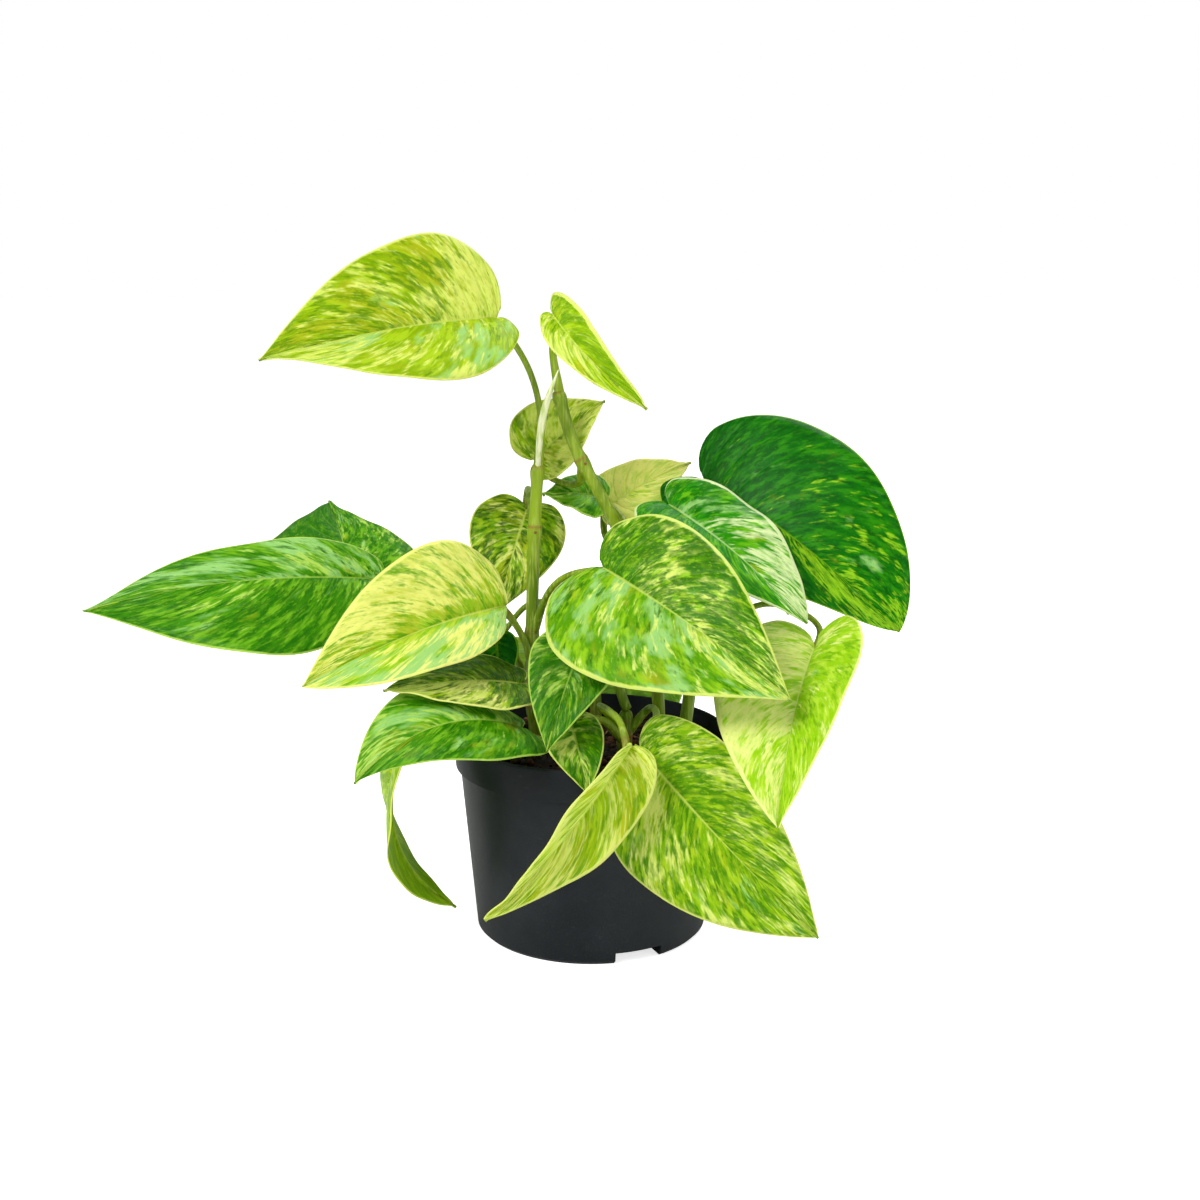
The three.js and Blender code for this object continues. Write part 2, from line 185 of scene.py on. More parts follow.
scene.view_settings.view_transform = "Standard"
for name, (place, size, watts) in studio["lights"].items():
    lightData = bpy.data.lights.new(name, "AREA")
    lightData.shape = "DISK"
    lightData.size = size
    lightData.energy = watts
    lightObject = bpy.data.objects.new(name, lightData)
    lightObject.location = place
    towards = Vector(studio["aim"]) - Vector(place)
    lightObject.rotation_euler = towards.to_track_quat("-Z", "Y").to_euler()
    scene.collection.objects.link(lightObject)
sky = bpy.data.worlds.new("paleStudio")
sky.use_nodes = True
skyInputs = sky.node_tree.nodes["Background"].inputs
skyInputs["Color"].default_value = (1, 1, 1, 1)
feed(sky.node_tree, skyInputs["Strength"], seenByCamera(sky.node_tree, studio["sky"], studio["backdrop"]))
scene.world = sky
print("camera and studio ready")

# small helpers for pieces


def addPiece(name, bm, materials, nodes):
    bmesh.ops.scale(bm, vec=(mm, mm, mm), verts=bm.verts)
    mesh = bpy.data.meshes.new(name)
    bm.to_mesh(mesh)
    bm.free()
    for material in materials:
        mesh.materials.append(material)
    mesh.polygons.foreach_set("use_smooth", [True] * len(mesh.polygons))
    piece = bpy.data.objects.new(name, mesh)
    scene.collection.objects.link(piece)
    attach(piece, "root")
    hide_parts(*nodes)
    return piece


def half(value, side):  # the left or the right one of a pair, or the one value that both halves share
    return value[0 if side > 0 else 1] if isinstance(value, tuple) else value


def hump(distance, width):  # 1 at no distance, and fading to nothing on both sides
    return math.exp(-(distance / width) ** 2)


# the plant: where its vines, stalks and blades grow, in mm

# mint is a pale grey-green that also paints a soft sheen on the blade.
# foot: where the vine stands. path: where it goes from there. at: how far along it a stalk leaves.
# via: places that the stalk passes. base, tip: the ends of the midrib. face: the way the blade looks.
# width: half width over length. fold: how far the halves rise, in degrees. arch: bow of the midrib.
# twist: turn from base to tip, in degrees. lobe: how far the blade reaches back past its stalk.
# shoulder, pointing: above 1 they narrow the outline near the base and at the tip.
# finish: a row of the finishes below. cream, dark, mint, warm: shares of colour. margin: cream edge, mm.
# tipward: more cream and less dark towards the tip. heart: less cream and mint beside the midrib.
# A pair is (left half, right half).
vines = {
    "vine_tall": {
        "foot": (-24, -10), "path": [(-25, -11, 128), (-24, -9, 166), (-22, -6, 206)],
        "leaves": {
            "leaf_crown_left": {
                "at": 0.97, "via": [(-21, -1, 224), (-25, 0, 242), (-33, -4, 257)], "base": (-38, -8, 266),
                "tip": (-129, -45, 251), "face": (0.1, -0.85, 0.5), "width": (0.33, 0.36), "fold": 26,
                "lobe": (0.1, 0.05), "shoulder": (1.6, 1),
                "finish": "crown", "cream": (0.44, 0.48), "dark": (0.16, 0.42), "mint": (0.4, 0),
                "warm": (0.1, 0.5), "tipward": (0.4, -0.6),
            },
            "leaf_centre_front": {
                "at": 0.5, "via": [(-17, -19, 154), (-7, -29, 163)], "base": (5, -35, 167),
                "tip": (77, -85, 125), "face": (0.02, -0.88, 0.45), "width": (0.34, 0.44), "fold": 10,
                "finish": "fresh", "cream": (0.4, 0.3), "dark": (0.6, 0.28), "mint": (0, 0.4), "margin": 1.6,
                "tipward": 0.4,
            },
            "leaf_centre_behind": {
                "at": 0.8, "via": [(-26, 8, 190), (-28, 25, 189)], "base": (-28, 20, 182),
                "tip": (-41, 4, 139), "face": (0, -0.9, 0.3), "width": (0.42, 0.46), "fold": 5,
                "finish": "mottled", "cream": 0.4, "dark": 0.48, "warm": 0.4,
            },
            "leaf_centre_shaded": {
                "at": 0.3, "via": [(-33, -8, 124)], "base": (-40, -15, 133), "tip": (-38, -18, 110),
                "face": (0, -0.95, 0.3), "width": 0.4, "fold": 10,
                "finish": "deep", "cream": 0.05, "dark": 0.5,
            },
            "leaf_mid_left": {
                "at": 0.36, "via": [(-28, -17, 132)], "base": (-35, -18, 147), "tip": (-114, -62, 124),
                "face": (0.1, -0.72, 0.7), "width": (0.29, 0.35), "fold": 32, "arch": 0.08, "twist": -12,
                "lobe": (-0.06, 0.04), "pointing": (0.7, 1.15),
                "finish": "butter", "cream": (0.44, 0.68), "dark": (0.2, 0.38), "mint": (0.66, 0),
                "warm": (0, 0.6), "margin": 1.2, "heart": 0.6,
            },
            "leaf_rim_left": {
                "at": 0.28, "via": [(-17, -24, 98), (-20, -42, 96)], "base": (-28, -50, 104),
                "tip": (-92, -78, 89), "face": (0, -0.35, 0.94), "width": (0.3, 0.36), "fold": 0,
                "arch": 0.2, "twist": -32, "lobe": (0.16, 0.1), "pointing": (1.3, 0.7),
                "finish": "mid", "cream": (0.1, 0.5), "dark": (0.44, 0.2), "mint": (0.1, 0.3),
            },
            "leaf_rim_mottled": {
                "at": 0.4, "via": [(-17, -22, 111), (-20, -33, 115)], "base": (-29, -38, 119),
                "tip": (-82, -62, 122), "face": (0, -0.4, 0.92), "width": 0.34, "fold": 5, "arch": 0.05,
                # the strong tipward here also paints shade: dark towards the base, where the blade lies in
                # shade under the leaves above
                "finish": "mottled", "cream": (0.62, 0.4), "dark": (0.42, 0.8), "tipward": 1.3,
            },
        },
    },
    "vine_leaning": {
        "foot": (30, 2), "path": [(27, 1, 125), (19, 0, 158), (10, 0, 180), (-7, 0, 213), (-14, 1, 236)],
        "leaves": {
            "leaf_crown_right": {
                "at": 0.98, "via": [(-16, 2, 254)], "base": (-16, 4, 267), "tip": (23, -25, 230),
                "face": (-0.5, -0.8, 0.1), "width": (0.25, 0.145), "fold": 30, "arch": 0.1, "lobe": 0.08,
                "finish": "lime", "cream": (0.28, 0.5), "dark": (0.5, 0.3), "margin": 1.6,
            },
            "leaf_crown_small": {
                "at": 0.82, "via": [(-6, 12, 194), (-18, 20, 196)], "base": (-24, 16, 204),
                "tip": (6, 20, 229), "face": (-0.5, -0.8, 0.3), "width": (0.52, 0.46), "fold": 22,
                "arch": 0.05,
                "finish": "crown", "cream": 0.58, "dark": 0.4, "warm": 0.2,
            },
            "leaf_between_vines": {
                "at": 0.62, "via": [(14, 12, 178)], "base": (6, 18, 187), "tip": (-21, 17, 189),
                "face": (0, -0.6, 0.8), "width": 0.5, "fold": 10, "arch": 0.08,
                "finish": "mid", "cream": 0.3, "dark": 0.3,
            },
            "leaf_pale_behind": {
                "at": 0.55, "via": [(14, 14, 162), (6, 27, 170)], "base": (6, 30, 181), "tip": (45, 52, 198),
                "face": (0, -0.7, 0.7), "width": 0.32, "fold": 12, "arch": 0.05,
                "finish": "butter", "cream": 0.8, "dark": 0.05,
            },
        },
    },
    "vine_right": {
        "foot": (40, -14), "path": [(43, -14, 120), (41, -12, 148), (37, -8, 170)],
        "leaves": {
            "leaf_right_inner": {
                "at": 0.9, "via": [(40, 3, 180)], "base": (33, -4, 188), "tip": (89, -34, 143),
                "face": (0.2, -0.7, 0.7), "width": (0.3, 0.33), "fold": 15, "pointing": (0.6, 1.15),
                "finish": "silver", "cream": (0.34, 0.06), "dark": (0.36, 0.5), "mint": (0.3, 0), "warm": 0,
                "margin": 1.4, "tipward": 0.7,
            },
            "leaf_right_drooping": {
                "at": 0.55, "via": [(56, -6, 136), (74, -9, 146), (90, -14, 143), (96, -20, 138)],
                "base": (93, -30, 133), "tip": (71, -101, 79), "face": (-0.45, -0.65, 0.6),
                "width": (0.33, 0.39), "fold": 30, "pointing": (0.7, 0.9),
                "finish": "bright", "cream": (0.28, 0.56), "dark": (0.36, 0.16), "warm": 0,
                "margin": (1, 2.2),
            },
        },
    },
    "vine_front": {
        "foot": (14, -30), "path": [(15, -31, 106)],
        "leaves": {
            "leaf_front_right": {
                "at": 0.75, "via": [(24, -34, 107), (27, -48, 108), (24, -57, 104)], "base": (20, -62, 98),
                "tip": (90, -86, 28), "face": (-0.15, -0.97, 0.1), "width": (0.28, 0.35), "fold": 12,
                "lobe": (0.1, 0), "pointing": (0.9, 1),
                "finish": "leafy", "cream": 0.44, "dark": (0.52, 0.44), "mint": (0, 0.15), "heart": 0.3,
            },
            "leaf_front_low": {
                "at": 0.85, "via": [(4, -42, 110), (8, -60, 113), (12, -74, 112)], "base": (16, -80, 105),
                "tip": (-40, -102, 42), "face": (0.55, -0.8, -0.2), "width": (0.22, 0.24), "fold": 38,
                "arch": 0.05, "lobe": (0.06, 0),
                "finish": "lime", "cream": 0.58, "dark": 0.34, "warm": 0.4, "margin": 1.3,
            },
            "leaf_centre_hanging": {
                "at": 1, "via": [(8, -32, 124)], "base": (-2, -40, 138), "tip": (-17, -68, 99),
                "face": (-0.2, -0.8, 0.5), "width": 0.37, "fold": 15, "arch": 0.08,
                "finish": "mid", "cream": 0.42, "dark": 0.6,
            },
            "leaf_rim_front": {
                "at": 0.7, "via": [(4, -40, 104)], "base": (-8, -50, 106), "tip": (-1, -67, 81),
                "face": (0.1, -0.7, 0.7), "width": (0.38, 0.42), "fold": 8, "arch": 0.08,
                "finish": "fresh", "cream": 0.38, "dark": 0.55,
            },
        },
    },
    "vine_left": {
        "foot": (-40, -6), "path": [(-44, -6, 112), (-50, -4, 134)],
        "leaves": {
            "leaf_far_left": {
                "at": 0.98, "via": [(-62, -2, 146), (-82, 0, 147)], "base": (-90, -5, 156),
                "tip": (-210, -25, 146), "face": (0, -0.75, 0.66), "width": (0.31, 0.15), "fold": 10,
                "arch": 0.09, "lobe": (0.05, 0.05), "shoulder": (1.4, 1), "pointing": (0.9, 1),
                "finish": "mid", "cream": (0.14, 0.26), "dark": (0.5, 0.3), "mint": (0.1, 0.4), "warm": 0,
                "tipward": (0, -0.3),
            },
            "leaf_left_hanging": {
                "at": 0.65, "via": [(-60, -14, 110), (-70, -26, 92)], "base": (-82, -30, 84),
                "tip": (-58, -26, 16), "face": (-0.9, -0.3, 0.3), "width": 0.3, "fold": 10, "arch": 0.18,
                "twist": 40,
                "finish": "lime", "cream": 0.12, "dark": 0.5,
            },
            "leaf_left_behind": {
                "at": 0.85, "via": [(-66, 14, 134), (-90, 18, 132), (-101, 16, 138)],
                "base": (-102, 14, 148), "tip": (-123, 74, 177), "face": (0, -0.38, 0.92),
                "width": (0.64, 0.43), "fold": 6, "arch": 0.02, "lobe": 0.1, "pointing": (1.1, 1.8),
                # the left half is painted nearly all dark: painted shade on the half that turns away from
                # the light
                "finish": "mid", "cream": (0.02, 0.3), "dark": (0.9, 0.46), "mint": (0, 0.2), "warm": 0,
            },
        },
    },
    "vine_back": {
        "foot": (2, 34), "path": [(0, 38, 118), (-8, 42, 146)],
        "leaves": {
            "leaf_back_right": {
                "at": 0.9, "via": [(20, 52, 158)], "base": (40, 60, 165), "tip": (95, 85, 120),
                "face": (0.3, 0.6, 0.8), "width": 0.36, "fold": 12, "arch": 0.08,
                "finish": "fresh", "cream": 0.35, "dark": 0.3, "tipward": 0.3,
            },
            "leaf_back_middle": {
                "at": 0.8, "via": [(10, 54, 132)], "base": (20, 62, 130), "tip": (35, 108, 75),
                "face": (0.1, 0.8, 0.6), "width": 0.38, "fold": 10, "arch": 0.1,
                "finish": "lime", "cream": 0.35, "dark": 0.3, "warm": 0.3,
            },
            "leaf_back_left": {
                "at": 0.85, "via": [(-28, 46, 134), (-46, 52, 115)], "base": (-55, 56, 120),
                "tip": (-110, 80, 98), "face": (-0.1, 0.3, 0.95), "width": 0.36, "fold": 10, "arch": 0.08,
                "finish": "butter", "cream": (0.42, 0.6), "dark": 0.2, "mint": (0.2, 0.4), "heart": 0.4,
                "margin": 1.2,
            },
            "leaf_back_hanging": {
                "at": 0.6, "via": [(-8, 54, 112)], "base": (-20, 66, 110), "tip": (-45, 106, 58),
                "face": (-0.2, 0.8, 0.6), "width": 0.38, "fold": 8, "arch": 0.1,
                "finish": "crown", "cream": (0.28, 0.44), "dark": 0.3, "mint": (0.3, 0),
            },
            "leaf_back_low": {
                "at": 0.5, "via": [(14, 50, 98), (16, 61, 94)], "base": (17, 70, 94), "tip": (21, 100, 38),
                "face": (0, 0.9, 0.4), "width": 0.42, "fold": 8, "arch": 0.1,
                "finish": "mid", "cream": 0.24, "dark": 0.4, "mint": 0.1,
            },
            "leaf_right_dark": {
                "at": 0.9, "via": [(24, 48, 160), (42, 46, 184)], "base": (50, 36, 193),
                "tip": (132, -6, 133), "face": (0.15, -0.85, 0.5), "width": (0.43, 0.3), "fold": 20,
                "arch": 0.08, "pointing": (0.4, 0.9),
                "finish": "deep", "cream": (0.22, 0.42), "dark": (0.4, 0.4), "warm": 0, "margin": 0.3,
                "tipward": 0.6,
            },
        },
    },
}

blade = {  # sizes in mm, angles in degrees
    "columns": 14, "rows": 76, "crowding": 1.4,  # columns crowd near the midrib
    "thickness": 0.5, "lift": 0.25, "sway": 1.1,
    "lobe": 0.14, "pointing": 1.15, "sinus": 12, "rounding": 0.09, "lobeStart": 0.35, "nearTip": 0.99999,
    "arch": 0.06, "edgeCurl": 12, "wave": 0.012, "waveRate": 13, "waveOffset": 1.2,
    "veins": 9, "veinLean": 0.13, "veinCurve": 1.3, "veinShift": 0.05, "pillow": 0.32,
    "ribDepth": 1.0, "ribRadius": 1.1, "ribTaper": 0.75, "grooveDepth": 0.55,
}
midline = 1e-9  # no distance from the midrib, but counted with the left half


def bladeAxes(leaf):
    base, tip = Vector(leaf["base"]), Vector(leaf["tip"])
    length = (tip - base).length
    along = (tip - base) / length
    face = Vector(leaf["face"])
    face = (face - face.dot(along) * along).normalized()
    return {"base": base, "along": along, "face": face, "length": length}


def bladePoint(leaf, axes, reach, out):  # both over the length, and out is above 0 on the left half
    along, face, length = axes["along"], axes["face"], axes["length"]
    bow = face * (2 * leaf.get("arch", blade["arch"]) * length)
    place = axes["base"] + along * (reach * length) + bow * (2 * reach * (1 - reach))
    heading = (along * length + bow * (2 * (1 - 2 * reach))).normalized()
    up = Matrix.Rotation(math.radians(leaf.get("twist", 0) * reach), 3, along) @ face
    up = (up - up.dot(heading) * heading).normalized()
    left = up.cross(heading)
    share = abs(out) / half(leaf["width"], out)
    rise = math.radians(leaf["fold"] - blade["edgeCurl"] * share / 2)
    phase = reach * blade["waveRate"] + math.copysign(blade["waveOffset"], out)
    height = abs(out) * math.sin(rise) + blade["wave"] * math.sin(phase) * share ** 2
    return place + left * (out * math.cos(rise) * length) + up * (height * length)


def marginPoint(leaf, turn, side):  # the outline, with turn from 0 beside the stalk to 1 at the tip
    lobe = half(leaf.get("lobe", blade["lobe"]), side)
    pointing = half(leaf.get("pointing", blade["pointing"]), side)
    shoulder = half(leaf.get("shoulder", 1), side)
    sinus = blade["sinus"]

    def bulge(angle):
        return math.sin(angle) ** shoulder * max(math.cos(angle / 2), 0) ** pointing

    widest = 2 * math.acos(math.sqrt((shoulder + pointing) / (2 * shoulder + pointing)))
    closing = math.radians(sinus + (180 - sinus) * min(turn, blade["nearTip"]))
    out = half(leaf["width"], side) * bulge(closing) / bulge(widest)
    angle = math.radians(sinus + (180 - sinus) * turn)
    reach = (1 + lobe) * (1 - math.cos(angle)) / 2 - lobe
    early = min(turn / blade["rounding"], 1)  # the lobe beside the stalk is rounded off
    inner = blade["lobeStart"] + (1 - blade["lobeStart"]) * early * (2 - early)
    return reach * inner, math.copysign(out * inner, side)


def veinHeight(turn, share, side):  # the blade swells between its side veins and sinks along them
    lean = turn - blade["veinLean"] * share ** blade["veinCurve"] + (blade["veinShift"] if side > 0 else 0)
    pillow = abs(math.sin(math.pi * blade["veins"] * lean)) ** 0.7
    return blade["pillow"] * pillow * math.sin(math.pi * min(share * 1.05, 1)) ** 0.6


def softWaves(side, turn, number):  # slow waves over the blade and quicker ones near its edge
    slow = noise.noise(Vector((side * 1.3, turn * 3.2, number * 7.7))) * abs(side) ** 1.5
    quick = noise.noise(Vector((side * 0.7, turn * 8.5, number * 3.1 + 40))) * abs(side) ** 4
    return blade["sway"] * (slow * 1.6 + quick)


def makeBlade(node, leaf, number):
    axes = bladeAxes(leaf)
    bm = bmesh.new()
    bmesh.ops.create_grid(bm, x_segments=2 * blade["columns"], y_segments=blade["rows"], size=1)
    uvLayer = bm.loops.layers.uv.new("vein")
    weightLayer = bm.verts.layers.deform.verify()
    for v in bm.verts:
        v.co.x = math.copysign(abs(v.co.x) ** blade["crowding"], v.co.x)
    for face in bm.faces:
        for loop in face.loops:
            loop[uvLayer].uv = (0.5 - 0.5 * loop.vert.co.x, 0.5 + 0.5 * loop.vert.co.y)
    nets = []
    for v in bm.verts:
        side, turn = -v.co.x or midline, (v.co.y + 1) / 2
        share = abs(side)
        foot = turn ** 1.5  # where the row leaves the midrib
        reach, out = marginPoint(leaf, turn, side)
        v.co = bladePoint(leaf, axes, foot + (reach - foot) * share, out * share)
        nets.append((side, turn, abs(out) * share * axes["length"]))
    bm.normal_update()
    normals = [v.normal.copy() for v in bm.verts]
    thickest = blade["thickness"] + blade["ribDepth"]
    for v, normal, (side, turn, away) in zip(bm.verts, normals, nets):
        ridge = hump(away, blade["ribRadius"] * (1 - blade["ribTaper"] * turn)) * (1 - turn) ** 0.5
        height = blade["lift"] + veinHeight(turn, abs(side), side) - blade["grooveDepth"] * ridge
        v.co += normal * (height + softWaves(side, turn, number))
        v[weightLayer][0] = (blade["thickness"] + blade["ribDepth"] * ridge) / thickest
    bmesh.ops.remove_doubles(bm, verts=bm.verts, dist=0.001)
    words = node.split("_")[1:]
    name = words[0] + "".join(word.capitalize() for word in words[1:]) + "Leaf"
    piece = addPiece(name, bm, leafMaterials(name, leaf, axes["length"], number), [node])
    piece.vertex_groups.new(name="thickness")
    wall = piece.modifiers.new("thickness", "SOLIDIFY")
    wall.thickness = thickest * mm
    wall.offset = -1
    wall.vertex_group = "thickness"
    wall.material_offset = 1


# leaf finishes

finishes = {  # ground green, lighter green, dark flecks and cream
    "crown": ("#88aa04", "#aaca1c", "#5e8802", "#dfea72"),
    "lime": ("#92b804", "#b4d420", "#6c9c04", "#e4f07c"),
    "bright": ("#96ca0a", "#bce03a", "#70aa08", "#eef793"),
    "fresh": ("#569602", "#90c21a", "#2a6a02", "#dcec76"),
    "leafy": ("#78a808", "#a4c81e", "#3e7c02", "#dce878"),
    "butter": ("#86bc12", "#bcd440", "#5c9a0a", "#eef082"),
    "mid": ("#3c8402", "#74ae1e", "#1e6402", "#b8da60"),
    "deep": ("#0a6602", "#2c8604", "#035202", "#98ca20"),
    "mottled": ("#6e9e04", "#aac822", "#1a5400", "#e8ee84"),
    "silver": ("#268a02", "#68b612", "#0e6c02", "#e2f4b0"),
}

marble = {
    "shares": {"Cream": 0.3, "Dark": 0.2, "Mint": 0, "Warm": 0.15, "Margin": 0.7, "Tipward": 0, "Heart": 0},
    "streaks": {  # width and length in mm, offset and detail of each kind
        "zone": (17, 28, 13, 1.5), "light": (2.8, 8, 21, 3.5), "warm": (10, 14, 49, 3),
        "mint": (9, 16, 63, 3), "cream": (1.5, 6, 0, 3.5), "dark": (1.7, 5, 37, 3.5),
        "speck": (0.9, 1.8, 44, 1), "edge": (3, 30, 55, 2.5), "gloss": (5, 9, 77, 2.5),
        "grain": (0.5, 0.9, 91, 2.5),
    },
    "zoning": 1.1, "coverNone": 0.71, "coverPerShare": -0.42,  # noise above which a colour shows
    # the mint tint is a pale grey-green that also paints a soft sheen
    "mintSheenTint": "#9ed07a", "warmTint": "#b9b021", "underTint": "#8cb22c", "underShare": 0.35,
    "specular": 0.08, "underSpecular": 0.04, "bump": 0.00025,
    "subsurface": 0.25, "subsurfaceRadius": (0.6, 1, 0.15), "subsurfaceScale": 0.002,
}


def makeMarbling():
    inputs = [("Seed", "NodeSocketFloat", 0), ("Length", "NodeSocketFloat", 90)]
    inputs += [("Half Width", "NodeSocketFloat", 32)]
    for label, share in marble["shares"].items():
        inputs += [(label + side, "NodeSocketFloat", share) for side in (" Left", " Right")]
    inputs += [(label, "NodeSocketColor", None) for label in ("Green", "Light", "Dark", "Cream")]
    tree, given, put = newGroup("marbling", inputs, [
        ("Colour", "NodeSocketColor"), ("Roughness", "NodeSocketFloat"), ("Height", "NodeSocketFloat")])

    def times(first, second):
        return calc(tree, "MULTIPLY", first, second)

    def plus(first, second):
        return calc(tree, "ADD", first, second)

    def minus(first, second):
        return calc(tree, "SUBTRACT", first, second)

    uv = tree.nodes.new("ShaderNodeUVMap")
    uv.uv_map = "vein"
    split = tree.nodes.new("ShaderNodeSeparateXYZ")
    feed(tree, split.inputs[0], uv.outputs[0])
    side = calc(tree, "MULTIPLY_ADD", split.outputs[0], 2, -1)
    turn = split.outputs[1]
    share = calc(tree, "ABSOLUTE", side)
    onLeft = calc(tree, "GREATER_THAN", side, 0)

    def ofSide(label):  # the value for the half of the blade that is being painted
        gap = minus(given[label + " Left"], given[label + " Right"])
        return calc(tree, "MULTIPLY_ADD", gap, onLeft, given[label + " Right"])

    curve = calc(tree, "POWER", share, blade["veinCurve"])
    lean = minus(turn, times(curve, blade["veinLean"]))
    across = times(lean, given["Length"])
    outwards = times(share, given["Half Width"])
    layer = calc(tree, "MULTIPLY_ADD", given["Seed"], 7.3, times(onLeft, 3.1))
    kinds = marble["streaks"]

    def streaks(wide, long, shift, detail):  # noise drawn out along the side veins
        x, y = calc(tree, "DIVIDE", outwards, long), calc(tree, "DIVIDE", across, wide)
        return cloud(tree, combine(tree, x, y, plus(layer, shift)), 1, detail, 0.55)

    def covering(value, shares, softness, strength=1):  # a mask over about that share of the blade
        limit = calc(tree, "MULTIPLY_ADD", shares, marble["coverPerShare"], marble["coverNone"])
        start, finish = minus(limit, softness), plus(limit, softness)
        return fade(tree, value, start, finish, 0, strength)

    def flecks(shares, kind):  # fine streaks on broad ones, thinned in patches
        wide, long, shift, detail = kinds[kind]
        fine = times(streaks(wide, long, shift, detail), 0.6)
        broad = streaks(wide * 3.2, long * 1.8, shift + 9, 2.5)
        patchy = fade(tree, streaks(2.2, 5, shift + 17, 2.5), 0.25, 0.6, 0.4, 1)
        value = calc(tree, "MULTIPLY_ADD", broad, 0.4, fine)
        return times(covering(value, shares, 0.055), patchy)

    zone = calc(tree, "MULTIPLY_ADD", streaks(*kinds["zone"]), marble["zoning"], -marble["zoning"] / 2)
    heart = times(ofSide("Heart"), fade(tree, share, 0.3, 0.05))
    tipward = times(ofSide("Tipward"), minus(turn, 0.5))
    lightMask = fade(tree, streaks(*kinds["light"]), 0.42, 0.63)
    ground = blendColour(tree, lightMask, given["Green"], given["Light"])
    warmMask = covering(streaks(*kinds["warm"]), ofSide("Warm"), 0.12, 0.5)
    ground = blendColour(tree, warmMask, ground, colour(marble["warmTint"]))
    # pale mint patches: grey-green zones that also paint a soft sheen on the blade
    mintSheenMask = covering(streaks(*kinds["mint"]), minus(ofSide("Mint"), heart), 0.08, 0.85)
    ground = blendColour(tree, mintSheenMask, ground, colour(marble["mintSheenTint"]))
    creamShare = minus(plus(ofSide("Cream"), tipward), heart)
    creamMask = flecks(plus(creamShare, zone), "cream")
    ground = blendColour(tree, times(creamMask, 0.9), ground, given["Cream"])
    darkShare = calc(tree, "MULTIPLY_ADD", plus(zone, tipward), -0.5, ofSide("Dark"))
    ground = blendColour(tree, times(flecks(darkShare, "dark"), 0.9), ground, given["Dark"])
    specks = fade(tree, streaks(*kinds["speck"]), 0.6, 0.7, 0, 0.45)
    ground = blendColour(tree, specks, ground, given["Light"])
    edgeShare = calc(tree, "DIVIDE", ofSide("Margin"), given["Half Width"])
    ragged = calc(tree, "MULTIPLY_ADD", streaks(*kinds["edge"]), 1.6, 0.2)
    start = minus(1, times(edgeShare, ragged))
    marginMask = fade(tree, share, minus(start, 0.012), plus(start, 0.012))
    ground = blendColour(tree, times(marginMask, 0.9), ground, given["Cream"])
    shifted = calc(tree, "MULTIPLY_ADD", onLeft, blade["veinShift"], lean)
    wave = calc(tree, "SINE", times(shifted, math.pi * blade["veins"]))
    wave = calc(tree, "ABSOLUTE", wave)  # 0 along each side vein, 1 between two
    veinMask = times(fade(tree, wave, 0.16, 0, 0, 0.35), fade(tree, share, 0.95, 0.3))
    ground = blendColour(tree, veinMask, ground, given["Light"])
    rib = fade(tree, outwards, calc(tree, "MULTIPLY_ADD", turn, -0.7, 1.2), 0.2, 0, 0.75)
    ground = blendColour(tree, rib, ground, blendColour(tree, 0.55, given["Light"], given["Cream"]))
    feed(tree, put["Colour"], ground)
    gloss = calc(tree, "MULTIPLY_ADD", streaks(*kinds["gloss"]), 0.22, 0.27)
    feed(tree, put["Roughness"], calc(tree, "MULTIPLY_ADD", creamMask, 0.06, gloss))
    grain = times(streaks(*kinds["grain"]), 0.35)
    feed(tree, put["Height"], plus(grain, fade(tree, wave, 0, 0.35, 0, 0.6)))
    return tree


marbling = makeMarbling()


def leafMaterials(name, leaf, length, number):
    green, light, dark, cream = colours(finishes[leaf["finish"]])
    values = {
        "Seed": number + 1, "Length": length,
        "Half Width": max(half(leaf["width"], side) for side in (1, -1)) * length,
        "Green": green, "Light": light, "Dark": dark, "Cream": cream,
    }
    for label, share in marble["shares"].items():
        given = leaf.get(label.lower(), share)
        values.update({label + " Left": half(given, 1), label + " Right": half(given, -1)})
    made = []
    for face, shine in (("Upper", "specular"), ("Under", "underSpecular")):
        material, tree, sockets = newMaterial(name + face, specular=marble[shine])
        sockets["Subsurface Weight"].default_value = marble["subsurface"]
        sockets["Subsurface Radius"].default_value = marble["subsurfaceRadius"]
        sockets["Subsurface Scale"].default_value = marble["subsurfaceScale"]
        put = placeGroup(tree, marbling, values)
        tint = put["Colour"]
        if face == "Under":  # the underside is paler and duller
            tint = blendColour(tree, marble["underShare"], tint, colour(marble["underTint"]))
        feed(tree, sockets["Base Color"], tint)
        feed(tree, sockets["Roughness"], put["Roughness"])
        addBump(tree, sockets, put["Height"], marble["bump"])
        made.append(material)
    return made


leaves = [item for vine in vines.values() for item in vine["leaves"].items()]
for number, (node, leaf) in enumerate(leaves):
    makeBlade(node, leaf, number)
print("leaf blades made:", len(leaves))

# vines, leaf stalks and the rolled shoot

stem = {  # sizes in mm
    "footHeights": (58, 72, 88), "radius": 2.9, "sides": 12, "spacing": 1.3, "taper": 0.12,
    "jointSwell": 0.6, "jointWidth": 3.2, "scar": 0.25, "scarAt": 2.6, "scarWidth": 0.9,
    "woodyBelow": 102, "woodyOver": 26,  # the foot of a vine turns brown
    "stalkRadius": 1.45, "stalkSides": 10, "stalkSpacing": 2.2, "stalkGroove": 0.3,
    "sheath": 0.9, "sheathLength": 16, "bendSwell": 0.35, "bendWidth": 4,
    "underRib": 0.13, "seats": ((0.02, 1.7), (0.08, 1.1), (0.15, 0.7)),  # places below the midrib
    "nubRadius": 0.9, "nubStart": 1.5, "nubLength": 3.4, "nubSizes": (1.1, 1, 0.9, 0.7, 0.3), "nubSides": 7,
    "greens": ("#64820c", "#8ca81e"), "lineTint": "#bccb5e", "woodTint": "#8c5a30",
}


